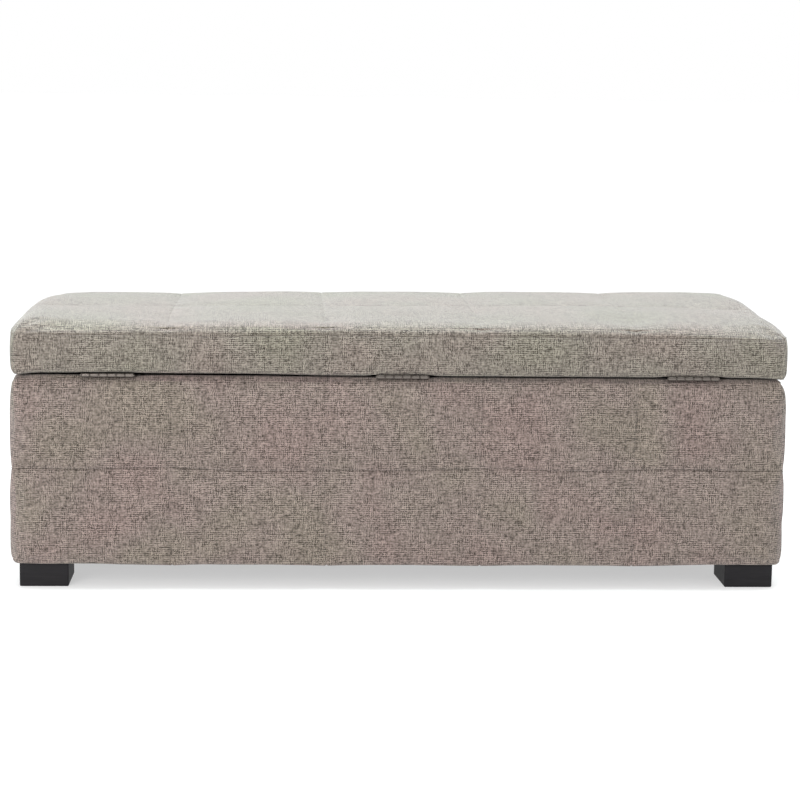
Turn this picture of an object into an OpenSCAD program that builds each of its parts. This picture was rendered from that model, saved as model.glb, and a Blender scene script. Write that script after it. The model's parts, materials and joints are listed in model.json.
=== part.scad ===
// Storage bench: an upholstered box with a hinged, padded lid on four wooden feet.
// The origin is on the floor under the middle of the bench. X runs along the length,
// -Y is the hinged side and +Y the opening side.

/* [Bench] */
// Length over the lid
bench_w = 1220; // [900:10:1400]
// Depth over the lid
bench_d = 460; // [430:5:520]
// Height to the top of the lid
bench_h = 430; // [400:5:480]
// How far the box stands back from the lid on each side
box_inset = 3; // [0:0.5:6]
// Height of the rim of the box
rim_z = 337; // [320:1:360]
// Gap between the rim and the underside of the lid
lid_gap = 5.5; // [5:0.1:7]

/* [Boards and cover] */
// Thickness of the wall panels and of the lid board
panel_t = 15; // [12:1:18]
// Thickness of the floor panel
floor_t = 9; // [6:1:12]
// Thickness of the quilted cover
cover_t = 6; // [5:0.5:7]
// Thickness of the foam sheet on each wall
padding_t = 6; // [4:1:8]
// Thickness of the lining and of the folded edge of the cover
lining_t = 1.5; // [1:0.5:2]
// Height of the corner blocks and of the floor cleats
cleat_h = 18; // [15:1:25]

/* [Feet] */
// Height of a foot
foot_h = 40; // [30:1:60]
// Width of a foot, along the bench
foot_w = 77; // [60:1:100]
// Depth of a foot
foot_d = 88; // [60:1:100]
// How far a foot stands back from the end of the box
foot_inset_x = 7.5; // [5:0.5:20]
// How far a foot stands back from the front or the back of the box
foot_inset_y = 15; // [10:0.5:20]

/* [Hinges] */
// Distance of the outer hinges from the middle one
hinge_spacing = 458; // [350:1:500]
// Length of a hinge
hinge_w = 81; // [60:1:100]
// Number of knuckles on a hinge
hinge_knuckles = 6; // [4:2:8]
// Radius of the knuckles
knuckle_r = 3.25; // [3:0.05:3.5]
// Radius of the hinge pin
hinge_pin_r = 1.5; // [1.2:0.1:1.6]
// How far the lid opens, in degrees
lid_travel = 80; // [60:1:80]

/* [Gas struts] */
// Distance of both ends of a strut from the hinge line
strut_arm = 200; // [190:1:205]
// Angle between those two distances when the lid is shut
strut_spread = 70; // [70:1:72]
// Radius of the tube
tube_r = 7.5; // [7:0.5:9]
// Radius of the rod
rod_r = 3; // [2.5:0.5:4]

/* [Hidden] */
$fn = 48;

clearance = 0.05;      // radial, around pins, screws and the strut rods
skin_gap = 0.2;        // between the foam and the cover around it
fabric_t = 2;          // cover where it turns over the rim
dust_t = 1;            // dust cover

// The box, from the outside in: cover, padding, panel, lining
box_w = bench_w - 2 * box_inset;
box_d = bench_d - 2 * box_inset;
padding_w = box_w - 2 * cover_t;
padding_d = box_d - 2 * cover_t;
panel_w = padding_w - 2 * padding_t;
panel_d = padding_d - 2 * padding_t;
inner_w = panel_w - 2 * panel_t;
inner_d = panel_d - 2 * panel_t;
box_z = foot_h + dust_t;
panel_z = box_z + 1;
panel_top_z = rim_z - fabric_t;
floor_z = panel_z + cleat_h;
lining_z = floor_z + floor_t;
box_corner = 12;
flap_z = rim_z - 32;   // lower edge of the cover inside the rim
lining_w = inner_w - 2 * lining_t;
lining_d = inner_d - 2 * lining_t;

// The lid
lid_z = rim_z + lid_gap;
lid_fold_t = lining_t;
board_z = lid_z + lid_fold_t;
board_w = panel_w + 6;
board_d = panel_d + 6;
lid_corner = 20;
lid_lining_w = bench_w - 100;
lid_lining_d = bench_d - 100;

// Feet
foot_mid_x = box_w / 2 - foot_inset_x - foot_w / 2;
foot_mid_y = box_d / 2 - foot_inset_y - foot_d / 2;
foot_corner = 3;
foot_bolt_r = 4;
block_size = 90;

// Hinges
leaf_t = 1.5;
hinge_y = -box_d / 2 + 0.5;
hinge_z = rim_z + lid_gap / 2;
leaf_y = hinge_y + 26;             // inner edge of both leaves
knuckle_w = hinge_w / hinge_knuckles;
knuckle_gap = 0.8;
knuckle_ease = 0.8;    // bevel on the ends of a knuckle
leaf_screw_y = -inner_d / 2 - panel_t / 2;
leaf_screw_spacing = 30;
hinge_screw_r = 1.75;
hinge_head_r = 3.3;

// Gas struts: both ends are at the same distance from the hinge line, so a strut
// turns by half the lid's angle.
strut_x = inner_w / 2 - 16;
lid_pivot_z = lid_z - 16.5;
lid_pivot_angle = asin((lid_pivot_z - hinge_z) / strut_arm);
box_pivot_angle = lid_pivot_angle - strut_spread;
lid_pivot_y = hinge_y + strut_arm * cos(lid_pivot_angle);
box_pivot_y = hinge_y + strut_arm * cos(box_pivot_angle);
box_pivot_z = hinge_z + strut_arm * sin(box_pivot_angle);
strut_length = 2 * strut_arm * sin(strut_spread / 2);
strut_stroke = 2 * strut_arm * sin((strut_spread + lid_travel) / 2) - strut_length;
strut_angle = atan2(lid_pivot_z - box_pivot_z, lid_pivot_y - box_pivot_y);
stud_r = 4;
socket_r = 7;
socket_w = 12;
neck_r = 5;
neck_length = 20;
tube_start = 24;                   // from the box pivot, with the lid shut
tube_wall = 1.2;
tube_end = strut_length - neck_length - 0.4;
guide_w = 6;
guide_z = tube_start + 1;
piston_w = 6;
piston_z = guide_z + guide_w + strut_stroke + 1;    // close to the guide when the lid is open
rod_tip = piston_z + piston_w + 1;
bracket_t = 2.5;
box_bracket_y = 30;
box_bracket_z = 44;
bracket_screw_r = 1.9;
bracket_head_r = 3.6;

// Screw and staple spacing
corner_screw_z = [80, 150, 220, 290];
frame_screw_r = 2;
frame_screw_length = 45;
staple_w = 10;
staple_wire = 0.7;
staple_leg = 6;
staple_pitch = 75;

sides = [-1, 1];
hinge_places = [-hinge_spacing, 0, hinge_spacing];
wood = "burlywood";
ply = "tan";
cloth = [0.59, 0.55, 0.51];
dark_cloth = [0.16, 0.15, 0.15];
steel = [0.55, 0.54, 0.52];
black = [0.10, 0.10, 0.11];

// Points of a rectangle with round corners, centred on the origin.
function round_rect(w, d, r, n = 8) = [
    for (c = [[1, 1, 0], [-1, 1, 90], [-1, -1, 180], [1, -1, 270]])
        for (i = [0 : n])
            [c[0] * (w / 2 - r) + r * cos(c[2] + 90 * i / n),
             c[1] * (d / 2 - r) + r * sin(c[2] + 90 * i / n)]
];

// A block with round corners in plan and rolled edges at the bottom and the top.
module soft_block(w, d, z0, z1, corner, low, high) {
    steps = 5;
    low_roll = [for (i = [0 : steps]) let (a = 90 * i / steps)
                [corner - low + low * sin(a), z0 + low - low * cos(a)]];
    high_roll = [for (i = [0 : steps]) let (a = 90 * i / steps)
                 [corner - high + high * cos(a), z1 - high + high * sin(a)]];
    hull()
        for (sx = sides, sy = sides)
            translate([sx * (w / 2 - corner), sy * (d / 2 - corner), 0])
                rotate_extrude($fn = 32)
                    polygon(concat([[0, z0]], low_roll, high_roll, [[0, z1]]));
}

// A plate from z0 to z1, centred on the origin in plan.
module plate(w, d, z0, z1) {
    translate([-w / 2, -d / 2, z0]) cube([w, d, z1 - z0]);
}

// A countersunk wood screw: the head's face is at the origin and the point is down.
module screw(length, r, head_r, extra = 0) {
    head_t = head_r - r;
    translate([0, 0, -length - extra]) cylinder(h = length + extra, r = r + extra);
    translate([0, 0, -head_t]) cylinder(h = head_t, r1 = r + extra, r2 = head_r + extra);
    if (extra > 0) cylinder(h = 2, r = head_r + extra);
}

/* Box panels */

module corner_screw_places() {
    for (sx = sides, sy = sides, z = corner_screw_z)
        translate([sx * (inner_w / 2 + panel_t / 2), sy * panel_d / 2, z])
            rotate([sy > 0 ? -90 : 90, 0, 0])
                children();
}

module corner_screw_holes() {
    corner_screw_places() screw(frame_screw_length, frame_screw_r, 4, clearance);
}

module long_panel(side) {
    difference() {
        translate([-panel_w / 2, side > 0 ? inner_d / 2 : -panel_d / 2, panel_z])
            cube([panel_w, panel_t, panel_top_z - panel_z]);
        corner_screw_holes();
        if (side < 0) hinge_box_screw_holes();
    }
}

module end_panel(side) {
    difference() {
        translate([side > 0 ? inner_w / 2 : -panel_w / 2, -inner_d / 2, panel_z])
            cube([panel_t, inner_d, panel_top_z - panel_z]);
        corner_screw_holes();
        strut_box_screw_places(side) screw(18, bracket_screw_r, bracket_head_r, clearance);
    }
}

module front_panel() { color(ply) long_panel(1); }
module back_panel() { color(ply) long_panel(-1); }
module left_panel() { color(ply) end_panel(-1); }
module right_panel() { color(ply) end_panel(1); }
module floor_panel() { color(ply) plate(inner_w - 0.4, inner_d - 0.4, floor_z, lining_z); }
module frame_screws() { color(steel) corner_screw_places() screw(frame_screw_length, frame_screw_r, 4); }

/* Under the floor */

module foot_places() {
    for (sx = sides, sy = sides)
        translate([sx * foot_mid_x, sy * foot_mid_y, 0])
            children();
}

module corner_blocks() {
    tee_flange = 1.6;
    color(wood)
        difference() {
            for (sx = sides, sy = sides)
                translate([sx > 0 ? inner_w / 2 - block_size : -inner_w / 2,
                           sy > 0 ? inner_d / 2 - block_size : -inner_d / 2, panel_z])
                    cube([block_size, block_size, cleat_h]);
            foot_places() {
                translate([0, 0, panel_z - 1]) cylinder(h = cleat_h + 2, r = 5.5 + clearance);
                translate([0, 0, floor_z - tee_flange]) cylinder(h = tee_flange + 1, r = 11.2);
            }
        }
}

module floor_cleats() {
    long = inner_w - 2 * block_size;
    short = inner_d - 2 * block_size;
    color(wood)
        for (s = sides) {
            translate([-long / 2, s > 0 ? inner_d / 2 - cleat_h : -inner_d / 2, panel_z])
                cube([long, cleat_h, cleat_h]);
            translate([s > 0 ? inner_w / 2 - cleat_h : -inner_w / 2, -short / 2, panel_z])
                cube([cleat_h, short, cleat_h]);
        }
}

module floor_bearer() {
    color(wood) plate(40, inner_d - 2 * cleat_h, panel_z, floor_z);
}

module foot_bolts() {
    color(steel)
        foot_places()
            translate([0, 0, 10]) cylinder(h = floor_z - 10, r = foot_bolt_r);
}

module foot_tee_nuts() {
    color(steel)
        foot_places()
            difference() {
                union() {
                    translate([0, 0, panel_z + 4]) cylinder(h = cleat_h - 4, r = 5.5);
                    translate([0, 0, floor_z - 1.5]) cylinder(h = 1.5, r = 11);
                }
                translate([0, 0, panel_z]) cylinder(h = cleat_h + 1, r = foot_bolt_r + clearance);
            }
}

module foot(sx, sy) {
    color([0.17, 0.15, 0.15])
        translate([sx * foot_mid_x, sy * foot_mid_y, 0])
            difference() {
                linear_extrude(foot_h) polygon(round_rect(foot_w, foot_d, foot_corner));
                translate([0, 0, 8]) cylinder(h = foot_h, r = foot_bolt_r + clearance);
            }
}

module foot_front_right() { foot(1, 1); }
module foot_front_left() { foot(-1, 1); }
module foot_back_left() { foot(-1, -1); }
module foot_back_right() { foot(1, -1); }

/* Padding, cover and linings of the box */

module long_padding(side) {
    translate([-panel_w / 2, side > 0 ? panel_d / 2 : -padding_d / 2 + skin_gap, panel_z])
        cube([panel_w, padding_t - skin_gap, panel_top_z - panel_z - skin_gap]);
}

module end_padding(side) {
    translate([side > 0 ? panel_w / 2 : -padding_w / 2 + skin_gap, -panel_d / 2, panel_z])
        cube([padding_t - skin_gap, panel_d, panel_top_z - panel_z - skin_gap]);
}

module front_padding() { color("khaki") long_padding(1); }
module back_padding() { color("khaki") long_padding(-1); }
module left_padding() { color("khaki") end_padding(-1); }
module right_padding() { color("khaki") end_padding(1); }

module body_cover() {
    fold = 25;
    color(cloth)
        difference() {
            soft_block(box_w, box_d, box_z, rim_z, box_corner, 6, 9);
            // room for the padding and the panels
            translate([0, 0, panel_z])
                linear_extrude(panel_top_z - panel_z)
                    difference() {
                        polygon(round_rect(padding_w, padding_d, box_corner - cover_t));
                        square([inner_w, inner_d], center = true);
                    }
            // the inside of the box, below and between the flaps
            plate(inner_w, inner_d, panel_z, flap_z);
            plate(lining_w, lining_d, flap_z - 1, rim_z + 1);
            // the underside, inside the fold
            plate(padding_w - 2 * fold, padding_d - 2 * fold, box_z - 1, panel_z + 1);
            hinge_box_screw_holes();
        }
}

module wall_lining() {
    lining_gap = 0.1;
    top_z = flap_z + 20;
    w = lining_w - 2 * lining_gap;
    d = lining_d - 2 * lining_gap;
    color(dark_cloth)
        difference() {
            plate(w, d, lining_z, top_z);
            plate(w - 2 * lining_t, d - 2 * lining_t, lining_z - 1, top_z + 1);
            for (s = sides)
                strut_box_screw_places(s)
                    translate([0, 0, -10]) cylinder(h = 20, r = bracket_screw_r + clearance);
        }
}

module floor_lining() {
    gap = 0.3;
    color(dark_cloth)
        plate(lining_w - 2 * lining_t - 2 * gap, lining_d - 2 * lining_t - 2 * gap,
              lining_z, lining_z + lining_t);
}

module dust_cover() {
    color(dark_cloth)
        difference() {
            plate(panel_w, panel_d, foot_h, box_z);
            foot_places()
                translate([0, 0, foot_h - 1]) cylinder(h = 4, r = foot_bolt_r + clearance);
        }
}

// A staple with its crown on the surface at the origin and its legs up, along x.
module staple() {
    w = staple_w / 2;
    t = staple_wire;
    translate([0, t, 0])
        rotate([90, 0, 0])
            linear_extrude(2 * t)
                polygon([[-w, -t], [w, -t], [w, staple_leg], [w - t, staple_leg],
                         [w - t, 0], [t - w, 0], [t - w, staple_leg], [-w, staple_leg]]);
}

// Staples in rows along the four sides of a rectangle.
module staple_rows(w, d) {
    along = floor(w / staple_pitch);
    across = floor(d / staple_pitch);
    for (s = sides) {
        for (i = [0 : along - 1])
            if (abs((i + 0.5 - along / 2) * staple_pitch) < w / 2 - staple_pitch / 2)
                translate([(i + 0.5 - along / 2) * staple_pitch, s * d / 2, 0])
                    staple();
        for (i = [0 : across - 1])
            translate([s * w / 2, (i + 0.5 - across / 2) * staple_pitch, 0])
                rotate([0, 0, 90])
                    staple();
    }
}

module dust_cover_staples() {
    inset = 7.5;
    color(steel)
        translate([0, 0, foot_h])
            difference() {
                staple_rows(panel_w - 2 * inset, panel_d - 2 * inset);
                foot_places() cube([foot_w + 12, foot_d + 12, 40], center = true);
            }
}

module lid_bumpers() {
    color(black)
        for (sx = sides, x = [0.3, 0.93])
            translate([sx * x * inner_w / 2, inner_d / 2 + panel_t / 2 - 1, rim_z])
                cylinder(h = lid_gap - 0.2, r1 = 6, r2 = 5);
}

/* Hinges */

module knuckles(first) {
    w = knuckle_w - knuckle_gap;
    for (i = [first : 2 : hinge_knuckles - 1])
        translate([-hinge_w / 2 + i * knuckle_w + knuckle_gap / 2, hinge_y, hinge_z])
            rotate([0, 90, 0]) {
                cylinder(h = knuckle_ease, r1 = knuckle_r - knuckle_ease, r2 = knuckle_r);
                translate([0, 0, knuckle_ease]) cylinder(h = w - 2 * knuckle_ease, r = knuckle_r);
                translate([0, 0, w - knuckle_ease])
                    cylinder(h = knuckle_ease, r1 = knuckle_r, r2 = knuckle_r - knuckle_ease);
            }
}

// A leaf with its knuckles. The plate lies on the rim (up = -1) or under the lid (up = 1).
module leaf(first, up) {
    z = up > 0 ? lid_z - leaf_t : rim_z;
    clear_y = hinge_y + knuckle_r + 0.5;
    difference() {
        union() {
            translate([-hinge_w / 2, clear_y, z]) cube([hinge_w, leaf_y - clear_y, leaf_t]);
            for (i = [first : 2 : hinge_knuckles - 1])
                translate([-hinge_w / 2 + i * knuckle_w + knuckle_gap / 2, hinge_y, z])
                    cube([knuckle_w - knuckle_gap, knuckle_r + 1, leaf_t]);
            knuckles(first);
        }
        translate([-hinge_w / 2 - 1, hinge_y, hinge_z])
            rotate([0, 90, 0])
                cylinder(h = hinge_w + 2, r = hinge_pin_r + clearance);
        leaf_screw_places(up) screw(30, hinge_screw_r, hinge_head_r, clearance);
    }
}

module leaf_screw_places(up) {
    face_z = up > 0 ? lid_z - leaf_t : rim_z + leaf_t;
    for (i = [-1 : 1])
        translate([i * leaf_screw_spacing, leaf_screw_y, face_z])
            rotate([up > 0 ? 180 : 0, 0, 0])
                children();
}

module hinge_pin(x) {
    head_r = 2.6;
    head_t = 0.8;
    end = hinge_w / 2;
    color(steel)
        translate([x, hinge_y, hinge_z])
            rotate([0, 90, 0]) {
                translate([0, 0, -end]) cylinder(h = hinge_w, r = hinge_pin_r);
                for (s = sides)
                    translate([0, 0, s > 0 ? end : -end - head_t]) cylinder(h = head_t, r = head_r);
            }
}

module box_leaf(x) { color(steel) translate([x, 0, 0]) leaf(0, -1); }
module lid_leaf(x) { color(steel) translate([x, 0, 0]) leaf(1, 1); }

module left_hinge_box_leaf() { box_leaf(-hinge_spacing); }
module middle_hinge_box_leaf() { box_leaf(0); }
module right_hinge_box_leaf() { box_leaf(hinge_spacing); }
module left_hinge_lid_leaf() { lid_leaf(-hinge_spacing); }
module middle_hinge_lid_leaf() { lid_leaf(0); }
module right_hinge_lid_leaf() { lid_leaf(hinge_spacing); }
module left_hinge_pin() { hinge_pin(-hinge_spacing); }
module middle_hinge_pin() { hinge_pin(0); }
module right_hinge_pin() { hinge_pin(hinge_spacing); }

module hinge_screws(up, length, extra = 0) {
    for (x = hinge_places)
        translate([x, 0, 0])
            leaf_screw_places(up)
                screw(length, hinge_screw_r, hinge_head_r, extra);
}

module hinge_box_screw_holes() { hinge_screws(-1, 22, clearance); }
module hinge_lid_screw_holes() { hinge_screws(1, 15, clearance); }
module hinge_box_screws() { color(steel) hinge_screws(-1, 22); }
module hinge_lid_screws() { color(steel) hinge_screws(1, 15); }

/* Gas struts */

// A pin along X that a strut end turns on, from x0 to x1, with a shoulder and a button.
module stud(side, x0, x1, y, z) {
    socket_x = strut_x + socket_w / 2 + 0.5;
    button_x = strut_x - socket_w / 2 - 0.5;
    translate([0, y, z])
        rotate([0, side * 90, 0]) {
            translate([0, 0, x0]) cylinder(h = x1 - x0, r = stud_r);
            translate([0, 0, socket_x]) cylinder(h = x1 - socket_x, r = stud_r + 2);
            translate([0, 0, button_x - 1.5]) cylinder(h = 1.5, r = stud_r + 1.5);
        }
}

module strut_box_screw_places(side) {
    for (s = sides)
        translate([side * (lining_w / 2 - lining_t - 0.1 - bracket_t), box_pivot_y,
                   box_pivot_z + s * 15])
            rotate([0, -side * 90, 0])
                children();
}

module strut_lid_screw_places(side) {
    for (s = sides)
        translate([side * (strut_x - 12), lid_pivot_y + s * 9, lid_z - 2])
            rotate([180, 0, 0])
                children();
}

module strut_box_bracket(side) {
    face = lining_w / 2 - lining_t - 0.1;
    color(steel)
        difference() {
            union() {
                translate([side > 0 ? face - bracket_t : -face,
                           box_pivot_y - box_bracket_y / 2, box_pivot_z - box_bracket_z / 2])
                    cube([bracket_t, box_bracket_y, box_bracket_z]);
                stud(side, strut_x - 8, face - 0.5, box_pivot_y, box_pivot_z);
            }
            strut_box_screw_places(side) screw(18, bracket_screw_r, bracket_head_r, clearance);
        }
}

module strut_lid_bracket(side) {
    plate_x = strut_x + 8;
    t = 2;
    length = 30;
    color(steel)
        difference() {
            union() {
                translate([side > 0 ? plate_x : -plate_x - t, lid_pivot_y - length / 2, lid_pivot_z - 8])
                    cube([t, length, lid_z - lid_pivot_z + 8]);
                translate([side > 0 ? strut_x - 18 : -plate_x - t, lid_pivot_y - length / 2, lid_z - t])
                    cube([plate_x + t - strut_x + 18, length, t]);
                stud(side, strut_x - 8, plate_x + 1, lid_pivot_y, lid_pivot_z);
            }
            strut_lid_screw_places(side) screw(16, bracket_screw_r, bracket_head_r, clearance);
        }
}

// Places a strut's parts: local z runs from the box pivot to the lid pivot.
module along_strut(side) {
    translate([side * strut_x, box_pivot_y, box_pivot_z])
        rotate([strut_angle - 90, 0, 0])
            children();
}

// A strut end: an eye on the stud and a neck that takes the rod or the tube's stud.
module strut_eye(depth) {
    difference() {
        union() {
            rotate([0, 90, 0]) translate([0, 0, -socket_w / 2]) cylinder(h = socket_w, r = socket_r);
            cylinder(h = neck_length, r = neck_r);
        }
        rotate([0, 90, 0]) translate([0, 0, -socket_w]) cylinder(h = 2 * socket_w, r = stud_r + clearance);
        translate([0, 0, neck_length - depth]) cylinder(h = depth + 1, r = rod_r + clearance);
    }
}

module strut_rod_end(side) { color(black) along_strut(side) strut_eye(12); }

module strut_tube_end(side) {
    color(black)
        along_strut(side)
            translate([0, 0, strut_length])
                rotate([180, 0, 0])
                    strut_eye(12);
}

module strut_rod(side) {
    start = neck_length - 11;
    color("silver")
        along_strut(side)
            translate([0, 0, start]) cylinder(h = rod_tip - start, r = rod_r);
}

module strut_piston(side) {
    bore_r = tube_r - tube_wall;
    color(steel)
        along_strut(side)
            translate([0, 0, piston_z])
                difference() {
                    cylinder(h = piston_w, r = bore_r - clearance);
                    translate([0, 0, -1]) cylinder(h = piston_w + 2, r = rod_r + clearance);
                }
}

module strut_guide(side) {
    color(steel)
        along_strut(side)
            translate([0, 0, guide_z])
                difference() {
                    cylinder(h = guide_w, r = tube_r - tube_wall - 0.02);
                    translate([0, 0, -1]) cylinder(h = guide_w + 2, r = rod_r + clearance);
                }
}

module strut_tube(side) {
    cap_t = 3;
    color(black)
        along_strut(side) {
            difference() {
                translate([0, 0, tube_start]) cylinder(h = tube_end - tube_start, r = tube_r);
                translate([0, 0, tube_start - 1])
                    cylinder(h = tube_end - tube_start - cap_t + 1, r = tube_r - tube_wall);
            }
            translate([0, 0, tube_end - 1]) cylinder(h = 12, r = rod_r);
        }
}

module left_strut_box_bracket() { strut_box_bracket(-1); }
module right_strut_box_bracket() { strut_box_bracket(1); }
module left_strut_lid_bracket() { strut_lid_bracket(-1); }
module right_strut_lid_bracket() { strut_lid_bracket(1); }
module left_strut_rod() { strut_rod(-1); }
module right_strut_rod() { strut_rod(1); }
module left_strut_piston() { strut_piston(-1); }
module right_strut_piston() { strut_piston(1); }
module left_strut_rod_end() { strut_rod_end(-1); }
module right_strut_rod_end() { strut_rod_end(1); }
module left_strut_tube() { strut_tube(-1); }
module right_strut_tube() { strut_tube(1); }
module left_strut_guide() { strut_guide(-1); }
module right_strut_guide() { strut_guide(1); }
module left_strut_tube_end() { strut_tube_end(-1); }
module right_strut_tube_end() { strut_tube_end(1); }

module strut_box_screws() {
    color(steel)
        for (s = sides)
            strut_box_screw_places(s) screw(18, bracket_screw_r, bracket_head_r);
}

module strut_lid_screws() {
    color(steel)
        for (s = sides)
            strut_lid_screw_places(s) screw(16, bracket_screw_r, bracket_head_r);
}

/* Lid */

module lid_board() {
    color(ply)
        difference() {
            plate(board_w, board_d, board_z, board_z + panel_t);
            hinge_lid_screw_holes();
            for (s = sides)
                strut_lid_screw_places(s) screw(16, bracket_screw_r, bracket_head_r, clearance);
        }
}

module lid_foam() {
    w = bench_w - 2 * cover_t - 2 * skin_gap;
    d = bench_d - 2 * cover_t - 2 * skin_gap;
    color("khaki")
        difference() {
            soft_block(w, d, board_z, bench_h - cover_t - skin_gap, lid_corner - cover_t, 2, 12);
            plate(board_w, board_d, board_z - 1, board_z + panel_t);
        }
}

module lid_cover() {
    w = bench_w - 2 * cover_t;
    d = bench_d - 2 * cover_t;
    color(cloth)
        difference() {
            soft_block(bench_w, bench_d, lid_z, bench_h, lid_corner, 10, 18);
            soft_block(w, d, board_z, bench_h - cover_t, lid_corner - cover_t, 2, 12);
            plate(lid_lining_w, lid_lining_d, lid_z - 1, board_z + 1);
            hinge_lid_screw_holes();
        }
}

module lid_lining() {
    gap = 0.2;
    color(dark_cloth)
        difference() {
            plate(lid_lining_w - gap, lid_lining_d - gap, lid_z, board_z);
            for (s = sides)
                strut_lid_screw_places(s) screw(16, bracket_screw_r, bracket_head_r, clearance);
        }
}

module lid_lining_staples() {
    inset = 6;
    color(steel)
        difference() {
            translate([0, 0, lid_z])
                staple_rows(lid_lining_w - 2 * inset, lid_lining_d - 2 * inset);
            // none under the strut brackets
            for (s = sides)
                translate([s * strut_x, lid_pivot_y, lid_z]) cube([60, 44, 40], center = true);
        }
}

front_panel();
back_panel();
left_panel();
right_panel();
floor_panel();
corner_blocks();
floor_cleats();
floor_bearer();
frame_screws();
front_padding();
back_padding();
left_padding();
right_padding();
body_cover();
wall_lining();
floor_lining();
dust_cover();
dust_cover_staples();
foot_front_left();
foot_front_right();
foot_back_left();
foot_back_right();
foot_bolts();
foot_tee_nuts();
lid_bumpers();
left_hinge_box_leaf();
middle_hinge_box_leaf();
right_hinge_box_leaf();
left_hinge_lid_leaf();
middle_hinge_lid_leaf();
right_hinge_lid_leaf();
left_hinge_pin();
middle_hinge_pin();
right_hinge_pin();
hinge_box_screws();
hinge_lid_screws();
left_strut_box_bracket();
right_strut_box_bracket();
strut_box_screws();
left_strut_rod();
right_strut_rod();
left_strut_piston();
right_strut_piston();
left_strut_rod_end();
right_strut_rod_end();
left_strut_tube();
right_strut_tube();
left_strut_guide();
right_strut_guide();
left_strut_tube_end();
right_strut_tube_end();
left_strut_lid_bracket();
right_strut_lid_bracket();
strut_lid_screws();
lid_board();
lid_foam();
lid_cover();
lid_lining();
lid_lining_staples();
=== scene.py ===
import json
import math

import bpy
import numpy as np
from mathutils import Matrix, Vector


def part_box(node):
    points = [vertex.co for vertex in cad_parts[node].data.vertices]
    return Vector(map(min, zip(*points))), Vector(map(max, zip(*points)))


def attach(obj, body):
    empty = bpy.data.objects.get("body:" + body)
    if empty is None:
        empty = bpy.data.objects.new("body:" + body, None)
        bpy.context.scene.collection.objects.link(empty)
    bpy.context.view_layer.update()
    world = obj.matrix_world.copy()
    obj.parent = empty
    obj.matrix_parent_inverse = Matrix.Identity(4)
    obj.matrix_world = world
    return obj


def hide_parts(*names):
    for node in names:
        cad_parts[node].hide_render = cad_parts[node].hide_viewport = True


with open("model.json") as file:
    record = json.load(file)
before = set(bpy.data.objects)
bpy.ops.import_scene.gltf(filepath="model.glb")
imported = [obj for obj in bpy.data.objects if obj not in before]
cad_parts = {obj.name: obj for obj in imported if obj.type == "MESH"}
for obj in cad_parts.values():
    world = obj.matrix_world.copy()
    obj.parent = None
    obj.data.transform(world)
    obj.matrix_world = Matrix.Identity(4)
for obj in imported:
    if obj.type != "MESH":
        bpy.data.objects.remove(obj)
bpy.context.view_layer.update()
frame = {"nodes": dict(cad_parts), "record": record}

MM = 0.001

# ---------------------------------------------------------------- sizes, from the frame

LID_LOW, LID_HIGH = (np.array(c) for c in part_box("lid_cover"))
BODY_LOW, BODY_HIGH = (np.array(c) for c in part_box("body_cover"))
LENGTH = LID_HIGH[0] - LID_LOW[0]
COLUMNS = 5
COLUMN_W = LENGTH / COLUMNS
COLUMN_SEAMS = [(i - COLUMNS / 2) * COLUMN_W for i in range(1, COLUMNS)]
HINGE_BOXES = [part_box(side + "_hinge_box_leaf") for side in ("left", "middle", "right")]
HINGES = [(low[0] + high[0]) / 2 for low, high in HINGE_BOXES]

# ---------------------------------------------------------------- grids and meshes


def norms(vectors):
    """Each row's length, as a column, and never 0."""
    return np.maximum(np.linalg.norm(vectors, axis=1), 1e-9)[:, None]


def unit(vectors):
    return vectors / norms(vectors)


def bell(x, width):
    """1 where x is 0, falling off to both sides over about the width."""
    return np.exp(-((x / width) ** 2))


def fade(x, reach):
    """1 where x is 0, falling off over about the reach."""
    return np.exp(-(x / reach))


def graded(stops, fine, coarse, growth=1.7):
    """Coordinates through the stops, with fine cells beside each stop that grow to coarse ones."""
    out = [stops[0]]
    for a, b in zip(stops, stops[1:]):
        near, used, step = [], 0.0, fine
        while step < coarse and used + step < (b - a) / 2:
            near.append(step)
            used += step
            step *= growth
        count = max(1, round((b - a - 2 * used) / coarse))
        steps = near + [(b - a - 2 * used) / count] * count + near[::-1]
        out += list(a + np.cumsum(steps))
    return np.array(out)


def box_grid(xs, ys, zs, hole=None):
    """Points and quads of a box's surface. hole = (half x, half y) leaves an opening in the underside."""
    sizes = (len(xs), len(ys), len(zs))
    ids = np.arange(np.prod(sizes)).reshape(sizes)
    last = [n - 1 for n in sizes]

    def sheet(g, flip):
        q = np.stack([g[:-1, :-1], g[1:, :-1], g[1:, 1:], g[:-1, 1:]], -1)
        return q[..., ::-1] if flip else q

    under = sheet(ids[:, :, 0], True)
    if hole:
        mid_x = abs(xs[:-1] + xs[1:]) / 2
        mid_y = abs(ys[:-1] + ys[1:]) / 2
        keep = (mid_x[:, None] > hole[0]) | (mid_y[None, :] > hole[1])
        under = under[keep]
    quads = [
        under.reshape(-1, 4),
        sheet(ids[:, :, last[2]], False).reshape(-1, 4),
        sheet(ids[:, 0, :], False).reshape(-1, 4),
        sheet(ids[:, last[1], :], True).reshape(-1, 4),
        sheet(ids[last[0], :, :], False).reshape(-1, 4),
        sheet(ids[0, :, :], True).reshape(-1, 4),
    ]
    quads = np.concatenate(quads)
    used, quads = np.unique(quads, return_inverse=True)
    i, j, k = np.unravel_index(used, sizes)
    return np.stack([xs[i], ys[j], zs[k]], 1), quads.reshape(-1, 4)


def rounded(points, low, high, side_r, low_r, high_r):
    """Rounds a box's points. side_r(share of the height) is the corner radius in plan."""
    share = (points[:, 2] - low[2]) / (high[2] - low[2])
    r = np.stack([side_r(share)] * 2 + [np.where(share > 0.5, high_r, low_r)], 1)
    core_low = low[None] + r
    core_high = high[None] - r
    core_low[:, 2], core_high[:, 2] = low[2] + low_r, high[2] - high_r
    core = np.clip(points, core_low, core_high)
    d = (points - core) / r
    return core + unit(d) * r


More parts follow.
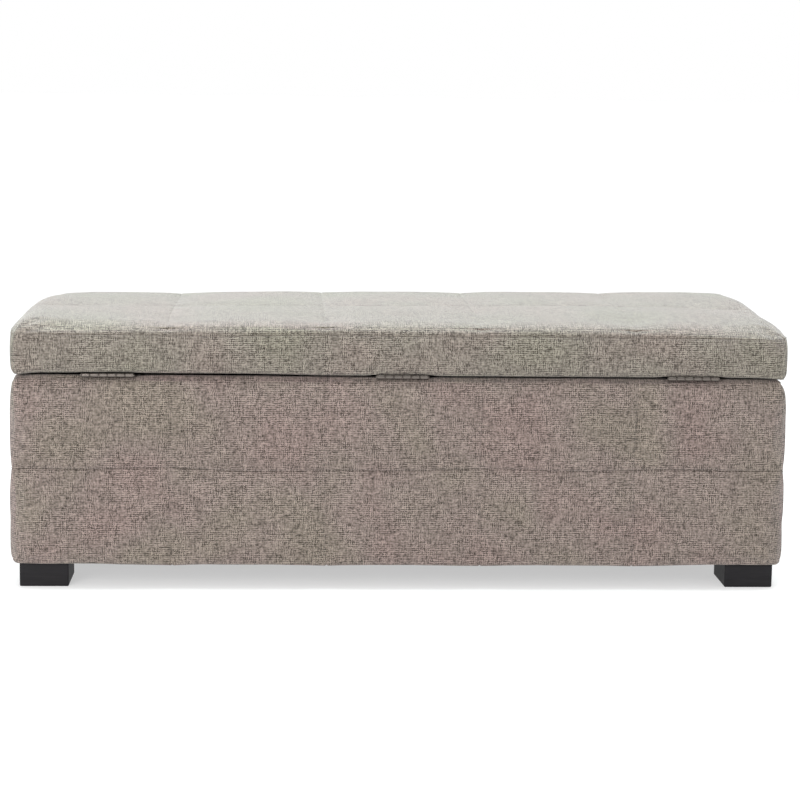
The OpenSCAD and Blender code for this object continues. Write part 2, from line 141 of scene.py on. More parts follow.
def mesh_piece(name, points, faces):
    mesh = bpy.data.meshes.new(name)
    mesh.from_pydata([tuple(p) for p in points], [], [tuple(int(i) for i in f) for f in faces])
    mesh.update()
    mesh.polygons.foreach_set("use_smooth", [True] * len(mesh.polygons))
    piece = bpy.data.objects.new(name, mesh)
    bpy.context.scene.collection.objects.link(piece)
    return piece


def get_points(mesh):
    co = np.empty(len(mesh.vertices) * 3, np.float32)
    mesh.vertices.foreach_get("co", co)
    return co.reshape(-1, 3).astype(float)


def set_points(mesh, points):
    mesh.vertices.foreach_set("co", np.ascontiguousarray(points, np.float32).ravel())
    mesh.update()


def get_normals(mesh):
    n = np.empty(len(mesh.vertices) * 3, np.float32)
    mesh.vertex_normals.foreach_get("vector", n)
    return n.reshape(-1, 3).astype(float)


def store(mesh, name, values):
    layer = mesh.attributes.new(name, "FLOAT", "POINT")
    layer.data.foreach_set("value", np.ascontiguousarray(values, np.float32))


def stored(mesh, name):
    values = np.empty(len(mesh.vertices), np.float32)
    mesh.attributes[name].data.foreach_get("value", values)
    return values.astype(float)


def apply_modifiers(piece):
    evaluated = piece.evaluated_get(bpy.context.evaluated_depsgraph_get())
    mesh = bpy.data.meshes.new_from_object(evaluated)
    mesh.name = piece.name
    piece.modifiers.clear()
    piece.data = mesh


def waves(s, seed, lengths, amount=1.0):
    """A smooth random-looking wave along s: the sum of sines of those wavelengths."""
    rng = np.random.default_rng(seed)
    total = np.zeros_like(s, dtype=float)
    for length in lengths:
        total += np.sin(2 * math.pi * s / length + rng.uniform(0, 2 * math.pi))
    return amount * total / math.sqrt(len(lengths))


def lumps(points, seed, size, amount):
    """Smooth bumps in space, about size across, from plane waves in random directions."""
    rng = np.random.default_rng(seed)
    total = np.zeros(len(points))
    directions = 7
    for _ in range(directions):
        way = rng.normal(size=3)
        way /= np.linalg.norm(way)
        length = size * rng.uniform(0.7, 1.5)
        total += np.sin(2 * math.pi * points @ way / length + rng.uniform(0, 2 * math.pi))
    return amount * total / math.sqrt(directions)


def inflate(piece, pinned, cap, pressure=4.0, frames=20):
    """Blows the piece up as cloth, held at the pinned points; no point moves further than cap."""
    start = get_points(piece.data)
    group = piece.vertex_groups.new(name="pinned")
    group.add([int(i) for i in np.flatnonzero(pinned)], 1.0, "REPLACE")
    cloth = piece.modifiers.new("cloth", "CLOTH")
    settings = cloth.settings
    settings.quality = 4
    settings.mass = 0.25
    settings.tension_stiffness = settings.compression_stiffness = 12
    settings.shear_stiffness = 6
    settings.bending_stiffness = 0.6
    settings.use_pressure = True
    settings.uniform_pressure_force = pressure
    settings.vertex_group_mass = group.name
    settings.effector_weights.gravity = 0
    cloth.collision_settings.use_collision = False
    cloth.collision_settings.use_self_collision = False
    cloth.point_cache.frame_start, cloth.point_cache.frame_end = 1, frames
    for frame_number in range(1, frames + 1):
        bpy.context.scene.frame_set(frame_number)
    evaluated = piece.evaluated_get(bpy.context.evaluated_depsgraph_get())
    end = get_points(evaluated.data)
    piece.modifiers.clear()
    piece.vertex_groups.clear()
    bpy.context.scene.frame_set(1)
    move = end - start
    far = norms(move)
    set_points(piece.data, start + move / far * cap * np.tanh(far / cap))


def subdivide(piece):
    piece.modifiers.new("finer", "SUBSURF").levels = 1
    apply_modifiers(piece)


def thicken(piece, thickness, offset):
    """offset is -1 to keep the outer surface where it is, and 0 to keep the middle one."""
    solid = piece.modifiers.new("thickness", "SOLIDIFY")
    solid.thickness = thickness
    solid.offset = offset
    apply_modifiers(piece)


# ---------------------------------------------------------------- node materials


class Shader:
    """A Principled material and short calls for its nodes."""

    def __init__(self, name, roughness, metallic=0.0, sheen=0.0, specular=0.5):
        self.material = bpy.data.materials.new(name)
        self.material.use_nodes = True
        self.tree = self.material.node_tree
        self.tree.nodes.clear()
        self.bsdf = self.tree.nodes.new("ShaderNodeBsdfPrincipled")
        out = self.tree.nodes.new("ShaderNodeOutputMaterial")
        self.tree.links.new(self.bsdf.outputs[0], out.inputs[0])
        self.bsdf.inputs["Roughness"].default_value = roughness
        self.bsdf.inputs["Metallic"].default_value = metallic
        self.bsdf.inputs["Sheen Weight"].default_value = sheen
        self.bsdf.inputs["Sheen Roughness"].default_value = 0.5
        self.bsdf.inputs["Specular IOR Level"].default_value = specular

    def _plug(self, socket, value):
        if isinstance(value, bpy.types.NodeSocket):
            self.tree.links.new(value, socket)
        else:
            socket.default_value = value

    def coordinates(self):
        """The place and the normal, both in the piece's own axes."""
        node = self.tree.nodes.new("ShaderNodeTexCoord")
        return node.outputs["Object"], node.outputs["Normal"]

    def math(self, operation, a, b=0.0, c=0.0):
        node = self.tree.nodes.new("ShaderNodeMath")
        node.operation = operation
        for socket, value in zip(node.inputs, (a, b, c)):
            self._plug(socket, value)
        return node.outputs[0]

    def split(self, vector):
        node = self.tree.nodes.new("ShaderNodeSeparateXYZ")
        self._plug(node.inputs[0], vector)
        return node.outputs

    def join(self, x, y, z):
        node = self.tree.nodes.new("ShaderNodeCombineXYZ")
        for socket, value in zip(node.inputs, (x, y, z)):
            self._plug(socket, value)
        return node.outputs[0]

    def scaled(self, vector, factors):
        node = self.tree.nodes.new("ShaderNodeVectorMath")
        node.operation = "MULTIPLY"
        self._plug(node.inputs[0], vector)
        node.inputs[1].default_value = factors
        return node.outputs[0]

    def noise(self, vector, scale=1.0, detail=2.0, roughness=0.5, distortion=0.0):
        node = self.tree.nodes.new("ShaderNodeTexNoise")
        self._plug(node.inputs["Vector"], vector)
        node.inputs["Scale"].default_value = scale
        node.inputs["Detail"].default_value = detail
        node.inputs["Roughness"].default_value = roughness
        node.inputs["Distortion"].default_value = distortion
        return node.outputs[0]

    def random(self, vector):
        """A random value for each point of a whole-number grid."""
        node = self.tree.nodes.new("ShaderNodeTexWhiteNoise")
        self._plug(node.inputs["Vector"], vector)
        return node.outputs[0]

    def ramp(self, factor, stops):
        node = self.tree.nodes.new("ShaderNodeValToRGB")
        self._plug(node.inputs[0], factor)
        band = node.color_ramp
        while len(band.elements) < len(stops):
            band.elements.new(1.0)
        for element, (place, colour) in zip(band.elements, stops):
            element.position = place
            element.color = (*colour, 1.0)
        return node.outputs[0]

    def mix(self, factor, a, b, blend="MIX"):
        node = self.tree.nodes.new("ShaderNodeMix")
        node.data_type = "RGBA"
        node.blend_type = blend
        self._plug(node.inputs[0], factor)
        for socket, value in ((node.inputs[6], a), (node.inputs[7], b)):
            self._plug(socket, value if isinstance(value, bpy.types.NodeSocket) else (*value, 1.0))
        return node.outputs[2]

    def choose(self, factor, a, b):
        """a where factor is 0 and b where it is 1."""
        return self.math("MULTIPLY_ADD", self.math("SUBTRACT", b, a), factor, a)

    def bump(self, height, distance):
        node = self.tree.nodes.new("ShaderNodeBump")
        node.inputs["Strength"].default_value = 1.0
        node.inputs["Distance"].default_value = distance
        self._plug(node.inputs["Height"], height)
        self.tree.links.new(node.outputs[0], self.bsdf.inputs["Normal"])

    def colour(self, value):
        self._plug(self.bsdf.inputs["Base Color"], value)

    def roughness(self, value):
        self._plug(self.bsdf.inputs["Roughness"], value)

    def sheen(self, value):
        self._plug(self.bsdf.inputs["Sheen Weight"], value)


def flat_on_face(s):
    """A vector (u, v, face) that lies flat on whichever of the three face directions is nearest."""
    place, normal = s.coordinates()
    x, y, z = s.split(place)
    nx, ny, nz = (s.math("ABSOLUTE", n) for n in s.split(normal))
    level_from = 0.7
    level = s.math("GREATER_THAN", nz, level_from)
    end = s.math("MULTIPLY", s.math("GREATER_THAN", nx, ny), s.math("SUBTRACT", 1.0, level))
    u = s.math("ADD", s.math("MULTIPLY", y, end), s.math("MULTIPLY", x, s.math("SUBTRACT", 1.0, end)))
    v = s.math("ADD", s.math("MULTIPLY", y, level), s.math("MULTIPLY", z, s.math("SUBTRACT", 1.0, level)))
    end_face, level_face = 0.37, 0.71
    face = s.math("ADD", s.math("MULTIPLY", end, end_face), s.math("MULTIPLY", level, level_face))
    return s.join(u, v, face), u, v


def woven(name, dark, light, tints, pitch, sheen, nap, contrast, hatch, speckle, depth=0.5):
    """Plain-woven cloth: warp and weft threads that pass over and under, each with its own slubs.

    sheen is the cloth's own, and nap is what the brushed threads of an upper face add to it.
    contrast is how much each thread's slubs vary, hatch how much light and dark threads take turns,
    and speckle how much one crossing differs from the next.
    """
    s = Shader(name, 0.9, sheen=sheen, specular=0.2)
    flat, u, v = flat_on_face(s)
    _, _, face = s.split(flat)
    # the threads wander a little
    wander = 3 * MM
    u = s.math("MULTIPLY_ADD", s.noise(flat, scale=9, detail=1), wander, u)
    v = s.math("MULTIPLY_ADD", s.noise(s.scaled(flat, (-1, -1, 3)), scale=9, detail=1), wander, v)
    weft_pitch = pitch * 0.96
    across, along = s.math("DIVIDE", u, pitch), s.math("DIVIDE", v, weft_pitch)
    warp_number, weft_number = s.math("FLOOR", across), s.math("FLOOR", along)
    over = s.math("FLOORED_MODULO", s.math("ADD", warp_number, weft_number), 2.0)

    def slubs(number, way, seed):
        """Light and dark threads in turn, more so in some places, and each thread's own slubs; round 0."""
        band_length, slub_length = 12 * MM, 14 * MM
        band_step, lane_step = 0.31, 3.71  # near each other, and unrelated, in the noise
        turn = s.math("MULTIPLY_ADD", s.math("FLOORED_MODULO", number, 2.0), 2.0, -1.0)
        side = s.math("MULTIPLY_ADD", number, band_step, seed)
        bands = s.noise(s.join(side, s.math("DIVIDE", way, band_length), face), detail=1)
        lane = s.math("MULTIPLY_ADD", number, lane_step, seed)
        own = s.noise(s.join(lane, s.math("DIVIDE", way, slub_length), face), detail=2, roughness=0.6)
        own = s.math("MULTIPLY", s.math("SUBTRACT", own, 0.5), contrast)
        return s.math("MULTIPLY_ADD", s.math("MULTIPLY", s.math("SUBTRACT", bands, 0.35), turn), hatch, own)

    warp, weft = slubs(warp_number, v, 0.0), slubs(weft_number, u, 40.0)
    both = s.math("ADD", warp, weft)
    slub = s.math("MULTIPLY_ADD", s.choose(over, warp, weft), 0.6, s.math("MULTIPLY", both, 0.4))
    # each thread is round, and sinks where it passes under the next
    round_warp = s.math("ABSOLUTE", s.math("SINE", s.math("MULTIPLY", across, math.pi)))
    round_weft = s.math("ABSOLUTE", s.math("SINE", s.math("MULTIPLY", along, math.pi)))
    warp_high = s.math("MULTIPLY", round_warp, s.math("MULTIPLY_ADD", round_weft, 0.5, 0.5))
    weft_high = s.math("MULTIPLY", round_weft, s.math("MULTIPLY_ADD", round_warp, 0.5, 0.5))
    high = s.choose(over, warp_high, weft_high)
    tone = s.math("ADD", slub, 0.42)
    crossing = s.random(s.join(warp_number, weft_number, s.math("ROUND", s.math("MULTIPLY", face, 9.0))))
    tone = s.math("MULTIPLY_ADD", crossing, speckle, s.math("SUBTRACT", tone, speckle / 2))
    # painted shade: the colour is lighter on each thread's crown and darker where it sinks under the next
    tone = s.math("MULTIPLY_ADD", high, 0.3, s.math("SUBTRACT", tone, 0.1))
    base = s.ramp(tone, [(0.0, dark), (1.0, light)])
    slow = s.noise(flat, scale=6, detail=2, roughness=0.5)
    tint = s.ramp(slow, [(0.36, tints[0]), (0.5, (1.0, 1.0, 1.0)), (0.64, tints[1])])
    s.colour(s.mix(1.0, base, tint, "MULTIPLY"))
    s.bump(s.math("MULTIPLY_ADD", slub, 0.15, high), depth * MM)
    # the nap grows as a face leans back, from 6 to 30 degrees off upright
    nap_starts, nap_full = 0.1, 0.5  # the sines of those angles
    slope = 1 / (nap_full - nap_starts)
    up = s.split(s.coordinates()[1])[2]
    held = s.math("MINIMUM", s.math("MAXIMUM", up, nap_starts), nap_full)
    level = s.math("MULTIPLY_ADD", held, slope, -nap_starts * slope)
    s.sheen(s.math("MULTIPLY_ADD", level, nap, sheen))
    return s.material


def timber(name, dark, light, scale, roughness, specular=0.4):
    """Wood with its grain along X."""
    s = Shader(name, roughness, specular=specular)
    place, _ = s.coordinates()
    grain_place = s.scaled(place, (scale / 14, scale, scale))
    grain = s.noise(grain_place, detail=6, roughness=0.65, distortion=0.6)
    pores = s.noise(s.scaled(grain_place, (5, 5, 5)), detail=2)
    tone = s.math("MULTIPLY_ADD", pores, 0.25, s.math("MULTIPLY", grain, 0.8))
    s.colour(s.ramp(tone, [(0.3, dark), (0.75, light)]))
    s.roughness(s.math("MULTIPLY_ADD", grain, 0.2, roughness - 0.1))
    s.bump(tone, 0.25 * MM)
    return s.material


def metal(name, colour, roughness, wear, worn, bump=0.05):
    """Metal with fine scratches along X and a mottled, slightly worn surface."""
    s = Shader(name, roughness, metallic=1.0)
    place, _ = s.coordinates()
    mottle = s.noise(place, scale=260, detail=4, roughness=0.6)
    scratches = s.noise(s.scaled(place, (60, 1800, 1800)), detail=2)
    s.colour(s.mix(s.math("MULTIPLY", mottle, wear), colour, worn))
    both = s.math("MULTIPLY_ADD", scratches, 0.5, s.math("MULTIPLY", mottle, 0.5))
    s.roughness(s.math("MULTIPLY_ADD", both, 0.3, roughness - 0.15))
    s.bump(both, bump * MM)
    return s.material


def moulded(name, colour, roughness, grain=900, bump=0.06, specular=0.5):
    """Plastic, rubber or paint with a fine even grain."""
    s = Shader(name, roughness, specular=specular)
    place, _ = s.coordinates()
    fine = s.noise(place, scale=grain, detail=3)
    broad = s.noise(place, scale=40, detail=3)
    lighter = tuple(min(1.0, c * 1.5 + 0.01) for c in colour)
    s.colour(s.mix(s.math("MULTIPLY", broad, 0.6), colour, lighter))
    s.roughness(s.math("MULTIPLY_ADD", fine, 0.16, roughness - 0.08))
    s.bump(fine, bump * MM)
    return s.material


def foam_material():
    s = Shader("open_cell_foam", 0.95, specular=0.2)
    place, _ = s.coordinates()
    cells = s.noise(place, scale=700, detail=3, roughness=0.7)
    broad = s.noise(place, scale=12, detail=2)
    tone = s.math("MULTIPLY_ADD", broad, 0.4, s.math("MULTIPLY", cells, 0.6))
    s.colour(s.ramp(tone, [(0.3, (0.62, 0.53, 0.33)), (0.7, (0.86, 0.79, 0.58))]))
    s.bump(cells, 0.6 * MM)
    return s.material


def felted(name, dark, light):
    """Non-woven cloth: a speckle of short fibres and the dimples of its spot bonding."""
    s = Shader(name, 0.95, sheen=0.1, specular=0.2)
    flat, u, v = flat_on_face(s)
    fibres = s.noise(flat, scale=1400, detail=3, roughness=0.8)
    cloud = s.noise(flat, scale=60, detail=3)
    pitch = 2.2 * MM
    dots = s.math(
        "MULTIPLY",
        s.math("SINE", s.math("MULTIPLY", u, 2 * math.pi / pitch)),
        s.math("SINE", s.math("MULTIPLY", v, 2 * math.pi / pitch)),
    )
    dimples = s.math("GREATER_THAN", dots, 0.55)
    tone = s.math("MULTIPLY_ADD", fibres, 0.6, s.math("MULTIPLY", cloud, 0.5))
    s.colour(s.ramp(tone, [(0.3, dark), (0.8, light)]))
    s.bump(s.math("SUBTRACT", fibres, s.math("MULTIPLY", dimples, 0.5)), 0.2 * MM)
    return s.material


LINEN = {
    "dark": (0.036, 0.027, 0.021),
    "tints": ((1.04, 0.98, 1.0), (0.97, 1.01, 0.95)),
    "pitch": 1.62 * MM,
    "sheen": 0.2,
    "contrast": 1.8,
    "hatch": 0.9,
    "speckle": 0.5,
}
LID_LINEN = woven("linen_lid", light=(0.355, 0.318, 0.270), nap=0.4, **LINEN)
BODY_LINEN = woven("linen_body", light=(0.365, 0.295, 0.262), nap=0.0, **LINEN)
LINING = woven(
    "lining_twill",
    dark=(0.010, 0.009, 0.009),
    light=(0.055, 0.050, 0.049),
    tints=((1.0, 0.96, 0.96), (0.96, 0.98, 1.0)),
    pitch=0.8 * MM,
    sheen=0.1,
    nap=0.0,
    contrast=1.5,
    hatch=0.3,
    speckle=0.2,
    depth=0.2,
)
DUST_CLOTH = felted("dust_cloth", (0.012, 0.012, 0.013), (0.045, 0.045, 0.047))
FOAM = foam_material()
PLYWOOD = timber("plywood", (0.42, 0.27, 0.14), (0.78, 0.61, 0.40), 90, 0.7)
PINE = timber("pine", (0.50, 0.33, 0.17), (0.82, 0.66, 0.42), 70, 0.65)
DARK_WOOD = timber("espresso_wood", (0.004, 0.0035, 0.0045), (0.016, 0.0145, 0.0165), 120, 0.55, 0.2)
HINGE_STEEL = metal("hinge_steel", (0.125, 0.108, 0.097), 0.22, 0.4, (0.27, 0.24, 0.215))
ZINC = metal("zinc_plate", (0.27, 0.27, 0.28), 0.42, 0.5, (0.38, 0.37, 0.35))
CHROME = metal("rod_chrome", (0.66, 0.66, 0.68), 0.16, 0.2, (0.7, 0.7, 0.7), bump=0.01)
TUBE_PAINT = moulded("tube_paint", (0.014, 0.014, 0.015), 0.36, grain=500, bump=0.03)
EYE_PLASTIC = moulded("eye_plastic", (0.020, 0.020, 0.022), 0.6)
RUBBER = moulded("bumper_rubber", (0.018, 0.018, 0.018), 0.8, grain=1500, bump=0.1)
THREAD = moulded("seam_thread", (0.05, 0.042, 0.036), 0.85, grain=2500, bump=0.05, specular=0.2)
PALE_THREAD = moulded("lid_thread", (0.15, 0.13, 0.11), 0.85, grain=2500, bump=0.05, specular=0.2)


def paint(piece, material):
    piece.data.materials.clear()
    piece.data.materials.append(material)


CAD_MATERIALS = {
    "plywood": PLYWOOD,
    "pine": PINE,
    "hinge_steel": HINGE_STEEL,
    "zinc_steel": ZINC,
    "rod_chrome": CHROME,
    "tube_paint": TUBE_PAINT,
    "eye_plastic": EYE_PLASTIC,
    "bumper_rubber": RUBBER,
}
EASED_MM = {
    "plywood": 0.5,
    "pine": 1.0,
    "hinge_steel": 0.35,
    "zinc_steel": 0.15,
    "bumper_rubber": 0.8,
    "eye_plastic": 0.6,
}


def dress_cad_node(node, slot_name):
    """Gives a CAD solid its material, small bevels, and smooth shading between its sharp edges."""
    paint(node, CAD_MATERIALS[slot_name])
    if slot_name in EASED_MM:
        ease = node.modifiers.new("eased", "BEVEL")
        ease.width = EASED_MM[slot_name] * MM
        ease.segments = 2
        ease.limit_method = "ANGLE"
        ease.angle_limit = math.radians(50)
    node.data.polygons.foreach_set("use_smooth", [True] * len(node.data.polygons))
    edges = node.modifiers.new("edges", "EDGE_SPLIT")
    edges.split_angle = math.radians(28)


for part in frame["record"]["subparts"]:
    if part["material_slot"] in CAD_MATERIALS:
        dress_cad_node(frame["nodes"][part["node"]], part["material_slot"])

# ---------------------------------------------------------------- quilted covers

SEAM_GROOVE = 2.0 * MM
GROOVE_W = 1.5 * MM
PUCKER = 0.4 * MM
PUCKER_REACH = 14 * MM
CLOTH_T = 1.2 * MM
SWELL = 5 * MM  # how far the pressure may move the cloth
SEAM_ROUND, SEAM_COLUMN, SEAM_ROW = 1, 2, 3
ON_SEAM = 0.5 * MM
CREASE_TURN = (-0.25, -0.11)  # between these two places along X the crease under the lid changes its shape


def puff(distance, height, reach):
    """How far the padding stands up at some distance from a seam."""
    return height * (1 - np.exp(-np.maximum(distance, 0) / reach))


def ease_in(x, start, end):
    """0 before start and 1 after end, with a smooth step between."""
    t = np.clip((x - start) / (end - start), 0, 1)
    return t * t * (3 - 2 * t)


def sew(piece, seed):
    """Draws the seams into a finished cover: a narrow groove, and small gathers beside it."""
    mesh = piece.data
    distance, along = stored(mesh, "seam_distance"), stored(mesh, "seam_along")
    pull = stored(mesh, "seam_pull")
    points, normals = get_points(mesh), get_normals(mesh)
    # the stitches draw it in unevenly
    uneven = 0.8 + waves(along, seed + 5, (0.013, 0.031, 0.067, 0.14), 0.22)
    in_groove = bell(distance, GROOVE_W)
    groove = -SEAM_GROOVE * pull * uneven * in_groove
    gathers = waves(along, seed, (0.017, 0.027, 0.041, 0.083), PUCKER)
    gathers *= fade(distance, PUCKER_REACH) * (1 - in_groove)
    slack = lumps(points, seed + 1, 0.16, 0.5 * MM) + lumps(points, seed + 2, 0.05, 0.12 * MM)
    slack *= 1 - fade(distance, 30 * MM)
    on_face = stored(mesh, "on_face")
    set_points(mesh, points + normals * ((groove + gathers + slack) * on_face)[:, None])


def stitches(name, cover, seam, body, thread, spacing=5.2 * MM, radius=0.42 * MM):
    """A row of thread stitches along one of the cover's seams, lying in its groove."""
    mesh = cover.data
    points, normals = get_points(mesh), get_normals(mesh)
    on_seam = (stored(mesh, "seam_distance") < 0.2 * MM) & (stored(mesh, "on_face") > 0.9)
    on_seam &= (abs(stored(mesh, "seam_name") - seam) < 0.01)
    points, normals = points[on_seam], normals[on_seam]
    length_by_depth = 2.6
    order = np.argsort(np.arctan2(points[:, 1] * length_by_depth, points[:, 0]))
    points, normals = points[order], normals[order]
    closed = np.concatenate([points, points[:1]])
    run = np.concatenate([[0], np.cumsum(np.linalg.norm(np.diff(closed, axis=0), axis=1))])
    total = run[-1]

    def wrap(values, at):
        """The values at some distances along the seam, which is closed."""
        at = np.mod(at, total)
        return np.column_stack([np.interp(at, run, np.append(v, v[0])) for v in values.T])

    count = int(total / spacing)
    middles = (np.arange(count) + 0.5) * total / count
    reach = 0.33 * spacing
    sections = np.array([-1.0, -0.8, 0.0, 0.8, 1.0])
    widths = np.array([0.15, 0.8, 1.0, 0.8, 0.15])
    crest, dip = 1.6, 0.9
    sides = 6
    turns = np.arange(sides) * 2 * math.pi / sides
    verts, quads = [], []
    for t, w in zip(sections, widths):
        centre = wrap(points, middles + t * reach)
        ahead = unit(wrap(points, middles + (t + 0.1) * reach) - centre)
        out = wrap(normals, middles)
        out -= ahead * np.sum(out * ahead, axis=1)[:, None]
        out = unit(out)
        side = np.cross(ahead, out)
        centre = centre + out * radius * (crest - dip * t * t)
        for a in turns:
            verts.append(centre + (side * math.cos(a) + out * math.sin(a)) * radius * w)
    verts = np.stack(verts, 1).reshape(-1, 3)
    one = []
    for k in range(len(sections) - 1):
        ring_start, next_start = k * sides, (k + 1) * sides
        for i in range(sides):
            j = (i + 1) % sides
            one.append((ring_start + i, ring_start + j, next_start + j, next_start + i))
    per = sides * len(sections)
    one = np.array(one)
    for start in range(0, len(verts), per):
        quads += (one + start).tolist()
        quads.append([start + i for i in reversed(range(sides))])
        quads.append([start + per - sides + i for i in range(sides)])
    piece = mesh_piece(name, verts, quads)
    paint(piece, thread)
    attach(piece, body)


def nearest_seam(seams):
    """seams: (distance, coordinate along, how hard it pulls, name). The values of the nearest one."""
    ones = np.ones_like(seams[0][0])
    best = [np.array(v * ones) for v in seams[0]]
    for seam in seams[1:]:
        closer = seam[0] < best[0]
        best = [np.where(closer, new, old) for new, old in zip(seam, best)]
    return best


def lid_sag(x, y):
    """How far the lid's top lies below level. The numbers are fitted to the photograph's outline.

    -x is the left end, and -y the hinge side, which is the near one.
    """
    half_x, half_y = LID_HIGH[0], LID_HIGH[1]
    left_end, right_rise, near_right = 3.5 * MM, 2.0 * MM, 8.0 * MM
    far_edge, far_left = 1.8 * MM, 2.4 * MM
    near_edge, near_edge_right = 6.0 * MM, 3.0 * MM
    sag = left_end * ease_in(-x, 0.05, 0.60) - right_rise * ease_in(x, 0.0, 0.3)
    sag = sag + near_right * ease_in(x, 0.42, 0.60) * ease_in(-y, -0.13, 0.07)
    sag = sag + far_edge * ease_in(y, 0.08, 0.2)
    sag = sag + far_left * ease_in(-x, 0.15, 0.45) * ease_in(y, -0.06, 0.15)
    between = ease_in(-y, 0.11, 0.21) * (1 - ease_in(-x, 0.50, 0.60)) * (1 - ease_in(x, 0.50, 0.60))
    sag = sag + (near_edge + near_edge_right * ease_in(x, -0.1, 0.4)) * between
    corner_reach = 55 * MM
    for sx, sy, depth in ((-1, -1, 0.0), (1, -1, 5.0), (-1, 1, 5.5), (1, 1, 2.0)):
        away = (sx * half_x - x) ** 2 + (sy * half_y - y) ** 2
        sag = sag + depth * MM * np.exp(-away / corner_reach ** 2)
    return sag


def beside_hinges(x):
    """1 along the hinge side, and 0 where a hinge leaf lies and at the corners."""
    leaf_end, clear_of_leaf = 42 * MM, 52 * MM
    free = 1 - ease_in(abs(x), 0.580, 0.600)
    for hinge_x in HINGES:
        free = free * ease_in(abs(x - hinge_x), leaf_end, clear_of_leaf)
    return free


def sewn(piece, seams, on_face, pinned, seed):
    """Blows a cover up between its seams and draws them in. seams is what nearest_seam gives."""
    for name, values in zip(("seam_distance", "seam_along", "seam_pull", "seam_name"), seams):
        store(piece.data, name, values)
    store(piece.data, "on_face", on_face)
    inflate(piece, pinned, cap=SWELL)
    subdivide(piece)
    sew(piece, seed)


def lid_cover():
    """The lid's cover: 5 by 2 biscuits on top, a boxing seam all round, and a border folded under."""
    roll_low, roll_high = 10 * MM, 18 * MM
    crown = 4.0 * MM
    seam_z = 0.405
    low, high = LID_LOW.copy(), LID_HIGH.copy()
    high[2] -= crown
    side_inset = 2.4 * MM
    low[:2] += side_inset
    high[:2] -= side_inset
    half_x, half_y = high[0], high[1]
    coarse, fine = 13 * MM, 1.6 * MM
    edge = 26 * MM
    xs = graded([-half_x, -half_x + edge, *COLUMN_SEAMS, half_x - edge, half_x], fine, coarse)
    ys = graded([-half_y, -half_y + edge, 0, half_y - edge, half_y], fine, coarse)
    zs = graded([low[2], low[2] + roll_low, seam_z, high[2]], fine, 8 * MM)
    hole = (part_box("lid_lining")[1][0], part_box("lid_lining")[1][1])
    xs = np.unique(np.concatenate([xs, [-hole[0], hole[0]]]))
    ys = np.unique(np.concatenate([ys, [-hole[1], hole[1]]]))
    p, quads = box_grid(xs, ys, zs, hole)
    hair = 1e-6
    top, bottom = p[:, 2] >= high[2] - hair, p[:, 2] <= low[2] + hair
    edge_gap = np.minimum(half_x - abs(p[:, 0]), half_y - abs(p[:, 1]))
    on_end = half_x - abs(p[:, 0]) < half_y - abs(p[:, 1])

    columns = np.min([abs(p[:, 0] - x) for x in COLUMN_SEAMS], axis=0)
    rows = abs(p[:, 1])
    boxing = np.where(top, high[2] - seam_z + edge_gap, abs(p[:, 2] - seam_z))
    around = np.where(on_end, p[:, 1] * np.sign(p[:, 0]) + 2, -p[:, 0] * np.sign(p[:, 1]))
    up = np.where(top, 0.3 + edge_gap, p[:, 2] - low[2])
    to_corner = np.hypot(half_x - abs(p[:, 0]), half_y - abs(p[:, 1]))
    past_corner = ease_in(to_corner, 15 * MM, 70 * MM)
    distance, along, pull, seam_name = nearest_seam([
        (boxing, around, 0.1 + 0.45 * past_corner, SEAM_ROUND),
        (columns, np.where(top, p[:, 1], up + 1), 0.4, SEAM_COLUMN),
        (rows, np.where(top, p[:, 0], up + 3), 0.4, SEAM_ROW),
    ])

    shaped = rounded(p, low, high, lambda share: (13 + 12 * share) * MM, roll_low, roll_high)
    # the padding stands up between the seams
    outward = unit(shaped - np.clip(shaped, low + roll_high, high - roll_high))
    side_height, top_height = 2.4 * MM, 3.2 * MM
    slack = distance + 20 * MM * (1 - past_corner)
    side_puff = puff(np.minimum(slack, (p[:, 2] - low[2]) * 1.5 + 4 * MM), side_height, 12 * MM)
    biscuit = puff(np.minimum(columns, rows), top_height, 26 * MM)
    top_puff = top_height - (top_height - biscuit) * ease_in(edge_gap, 0, 60 * MM)
    height = np.where(top, top_puff * puff(boxing, 1.0, 10 * MM), side_puff)
    height[bottom] = 0
    shaped += outward * height[:, None]
    # the boxing seam wanders a little, and the lower edge is slightly uneven
    near_seam = bell(p[:, 2] - seam_z, 22 * MM) * ~top
    shaped[:, 2] += waves(around, 11, (0.9, 0.52, 0.31), 1.3 * MM) * near_seam
    near_edge = fade(p[:, 2] - low[2], 14 * MM)
    shaped[:, 2] += waves(around, 12, (0.41, 0.23, 0.11), 1.0 * MM) * near_edge * ~bottom
    shaped[:, 2] -= lid_sag(shaped[:, 0], shaped[:, 1]) * ease_in(p[:, 2], seam_z - 8 * MM, high[2])
    # the corners lean in at the top, hang slightly lower and are gathered in folds below
    lean = bell(to_corner, 42 * MM) * ease_in(p[:, 2], seam_z - 20 * MM, high[2])
    lean_depth = np.where(p[:, 0] * p[:, 1] < 0, 6.0, 2.5) * MM
    shaped[:, :2] -= outward[:, :2] * (lean_depth * lean)[:, None]
    corner_drop = 5.2 * MM
    shaped[:, 2] -= corner_drop * bell(to_corner, 24 * MM) * near_edge
    # the hinge side hangs towards the rim: its lower edge, and between the hinges the padded border
    hang = (0.7 + 1.9 * ease_in(p[:, 0], *CREASE_TURN)) * MM
    hang = hang * ease_in(-p[:, 1], half_y - 34 * MM, half_y - 22 * MM)
    free = beside_hinges(p[:, 0])
    under = free + (1 - free) * bell(edge_gap, 4 * MM)
    shaped[:, 2] -= hang * np.where(bottom, under, near_edge * (0.75 + 0.25 * free))
    folds = np.zeros(len(p))
    fold_width = 8  # degrees round the corner
    ray = np.degrees(np.arctan2(abs(outward[:, 1]), abs(outward[:, 0])))
    for turn, depth in ((18, 1.8), (45, 2.6), (72, 2.0)):
        folds += depth * MM * bell(ray - turn, fold_width)
    folds *= bell(p[:, 2] - low[2], 22 * MM) * ~bottom
    shaped -= outward * folds[:, None]

